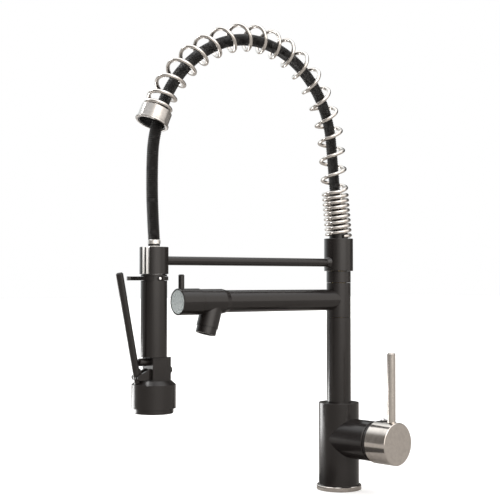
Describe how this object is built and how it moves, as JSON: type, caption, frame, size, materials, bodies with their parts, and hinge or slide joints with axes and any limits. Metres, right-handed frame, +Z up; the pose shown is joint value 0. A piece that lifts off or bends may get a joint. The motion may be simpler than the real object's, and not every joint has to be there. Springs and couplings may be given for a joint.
{
  "type": "pre-rinse kitchen faucet",
  "caption": "Matt black and nickel pre-rinse kitchen faucet with a spring arm, a lever spray head in a clip, a swivelling spout with diverter and a side handle.",
  "frame": {"origin": "centre of the base ring on the deck plane, on the riser axis", "axes": "+Z up along the riser; the spout and the spray arm reach along -Y; the handle is on the +X side"},
  "size_m": [0.1186, 0.3393, 0.5372],
  "materials": {
    "matt_black": "matt charcoal coating, fine grain",
    "brushed_nickel": "warm satin nickel, brushed",
    "spring_nickel": "satin nickel plated wire",
    "disc_silver": "satin silver, spun",
    "polished_chrome": "polished",
    "brass_core": "machined",
    "zinc_steel": "bright zinc",
    "white_bush": "low friction plastic, matt",
    "dark_plastic": "matt moulded",
    "black_rubber": "matt",
    "index_white": "gloss",
    "hose_braid": "braided nylon over a rubber hose"
  },
  "bodies": {
    "base": {"base_gasket": "black_rubber", "base_ring": "brushed_nickel", "valve_body": "matt_black", "cartridge_body": "white_bush", "cartridge_nut": "brass_core", "dome_trim": "matt_black", "riser_tube": "matt_black", "spindle": "brass_core", "spindle_seals": "black_rubber", "neck_nut": "matt_black", "collar_circlip": "zinc_steel"},
    "spout": {"spout_arm": "matt_black", "spout_bush_low": "white_bush", "spout_bush_high": "white_bush", "spout_end": "matt_black", "aerator_housing": "matt_black", "aerator_grid": "dark_plastic"},
    "diverter": {"diverter_stem": "brass_core", "diverter_seal": "black_rubber", "diverter_knob": "matt_black", "knob_disc": "disc_silver", "knob_pin": "matt_black"},
    "mixer_cam": {"cartridge_cam": "dark_plastic"},
    "handle": {"cartridge_stem": "brass_core", "handle_cap": "brushed_nickel", "handle_pin": "brushed_nickel", "index_ring": "dark_plastic", "index_disc": "index_white", "set_screw": "zinc_steel"},
    "arm": {"dock_collar": "matt_black", "collar_bush": "white_bush", "dock_rod": "matt_black", "dock_clip": "matt_black", "clip_liner": "dark_plastic", "spring_seat": "matt_black", "arm_spring": "spring_nickel", "hose_crimp": "zinc_steel", "hose_arch": "hose_braid", "end_collar": "brushed_nickel", "guide_bush": "dark_plastic"},
    "hose_end": {"hose_ferrule": "polished_chrome", "hose_drop": "hose_braid"},
    "head": {"swivel_nut": "matt_black", "grip_tube": "matt_black", "neck_sleeve": "polished_chrome", "neck_washer": "white_bush", "catch_stud": "polished_chrome", "check_valve": "dark_plastic", "valve_block": "matt_black", "flow_screw": "matt_black", "plunger_spring": "zinc_steel", "bell": "matt_black", "bumper_ring": "matt_black", "nozzle_plate": "dark_plastic", "spray_jets": "black_rubber", "lever_pin": "matt_black"},
    "spray_lever": {"lever": "matt_black"},
    "push_rod": {"plunger": "matt_black"},
    "catch": {"lever_catch": "matt_black"}
  },
  "joints": [
    {"name": "arm_swivel", "type": "hinge", "parent": "base", "child": "arm", "pos_m": [0, 0, 0.2774], "axis": [0, 0, 1], "continuous": true},
    {"name": "spout_swivel", "type": "hinge", "parent": "base", "child": "spout", "pos_m": [0, 0, 0.224], "axis": [0, 0, 1], "continuous": true},
    {"name": "diverter_turn", "type": "hinge", "parent": "spout", "child": "diverter", "pos_m": [0, -0.2025, 0.224], "axis": [0, -1, 0], "range_deg": [0, 90]},
    {"name": "mixer_turn", "type": "hinge", "parent": "base", "child": "mixer_cam", "pos_m": [0.04184, 0.00469, 0.0613], "axis": [0.9938, 0.1115, 0], "range_deg": [-45, 45]},
    {"name": "handle_tilt", "type": "hinge", "parent": "mixer_cam", "child": "handle", "pos_m": [0.04184, 0.00469, 0.0613], "axis": [-0.1115, 0.9938, 0], "range_deg": [0, 15]},
    {"name": "head_pull", "type": "slide", "parent": "arm", "child": "hose_end", "axis": [0, 0, -1], "range_m": [0, 0.045], "deforming": ["hose_drop"]},
    {"name": "head_turn", "type": "hinge", "parent": "hose_end", "child": "head", "pos_m": [0, -0.2594, 0.27], "axis": [0, 0, 1], "range_deg": [-90, 90]},
    {"name": "lever_squeeze", "type": "hinge", "parent": "head", "child": "spray_lever", "pos_m": [0, -0.28, 0.1458], "axis": [-1, 0, 0], "range_deg": [0, 11], "stiffness_Nm_per_rad": 0.6, "springref_deg": -11.46},
    {"name": "plunger_push", "type": "slide", "parent": "head", "child": "push_rod", "axis": [0, 1, 0], "range_m": [0, 0.0035]},
    {"name": "catch_turn", "type": "hinge", "parent": "head", "child": "catch", "pos_m": [0, -0.2594, 0.24935], "axis": [0, 0, 1], "range_deg": [0, 22]}
  ],
  "couplings": [
    {"joint": "plunger_push", "follows": "lever_squeeze", "m_per_rad": 0.01547}
  ]
}
